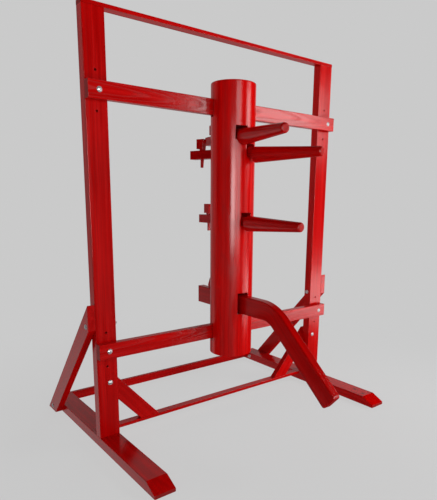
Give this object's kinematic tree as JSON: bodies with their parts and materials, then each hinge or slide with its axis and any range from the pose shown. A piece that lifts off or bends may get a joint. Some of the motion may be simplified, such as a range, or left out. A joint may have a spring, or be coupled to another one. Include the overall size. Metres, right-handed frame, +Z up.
{
  "type": "wooden wing dummy",
  "caption": "Free-standing wooden martial arts training dummy: round trunk on two cross slats, turned arms, bent leg, keyed tenons and a braced timber frame.",
  "frame": {"origin": "on the floor, under the middle of the outline's width and depth", "axes": "+X to the right of a user who faces the front, along the slats; -Y is the front, where the arms and leg point; +Z up"},
  "size_m": [1.5795, 1.4126, 1.9193],
  "materials": {
    "frame_wood": "satin red stain",
    "trunk_wood": "satin red stain",
    "arm_wood": "satin dark red stain",
    "key_wood": "satin dark red stain",
    "zinc": "bright zinc",
    "screw_steel": "dull zinc"
  },
  "bodies": {
    "frame": {"runner_left": "frame_wood", "runner_right": "frame_wood", "post_left": "frame_wood", "post_right": "frame_wood", "top_board": "frame_wood", "cross_board": "frame_wood", "rear_board": "frame_wood", "slat_upper": "frame_wood", "slat_lower": "frame_wood", "knee_brace_left": "frame_wood", "knee_brace_right": "frame_wood", "rear_stay_left": "frame_wood", "rear_stay_right": "frame_wood", "slat_bolts": "zinc", "knee_bolts": "zinc", "stay_bolts": "zinc", "bolt_washers": "zinc", "bolt_nuts": "zinc", "wood_screws": "screw_steel"},
    "trunk": {"trunk": "trunk_wood"},
    "arm_upper_left": {"arm_upper_left": "arm_wood"},
    "key_upper_left": {"key_upper_left": "key_wood"},
    "arm_upper_right": {"arm_upper_right": "arm_wood"},
    "key_upper_right": {"key_upper_right": "key_wood"},
    "arm_middle": {"arm_middle": "arm_wood"},
    "key_middle": {"key_middle": "key_wood"},
    "leg": {"leg": "arm_wood"},
    "key_leg": {"key_leg": "key_wood"}
  },
  "joints": [
    {"name": "trunk_slide", "type": "slide", "parent": "frame", "child": "trunk", "axis": [1, 0, 0], "range_m": [-0.525, 0.565]},
    {"name": "arm_upper_left_play", "type": "slide", "parent": "trunk", "child": "arm_upper_left", "axis": [-0.1908, -0.9816, 0], "range_m": [0, 0.09]},
    {"name": "arm_upper_right_play", "type": "slide", "parent": "trunk", "child": "arm_upper_right", "axis": [0.2672, -0.9636, 0], "range_m": [-0.022, 0.067]},
    {"name": "arm_middle_play", "type": "slide", "parent": "trunk", "child": "arm_middle", "axis": [0, -1, 0], "range_m": [-0.019, 0.07]},
    {"name": "leg_play", "type": "slide", "parent": "trunk", "child": "leg", "axis": [0, -1, 0], "range_m": [-0.02, 0.031]},
    {"name": "key_upper_left_lift", "type": "slide", "parent": "arm_upper_left", "child": "key_upper_left", "axis": [0, 0, 1], "range_m": [0, 0.11]},
    {"name": "key_upper_right_lift", "type": "slide", "parent": "arm_upper_right", "child": "key_upper_right", "axis": [0, 0, 1], "range_m": [0, 0.11]},
    {"name": "key_middle_lift", "type": "slide", "parent": "arm_middle", "child": "key_middle", "axis": [0, 0, 1], "range_m": [0, 0.11]},
    {"name": "key_leg_lift", "type": "slide", "parent": "leg", "child": "key_leg", "axis": [0, 0, 1], "range_m": [0, 0.16]}
  ]
}
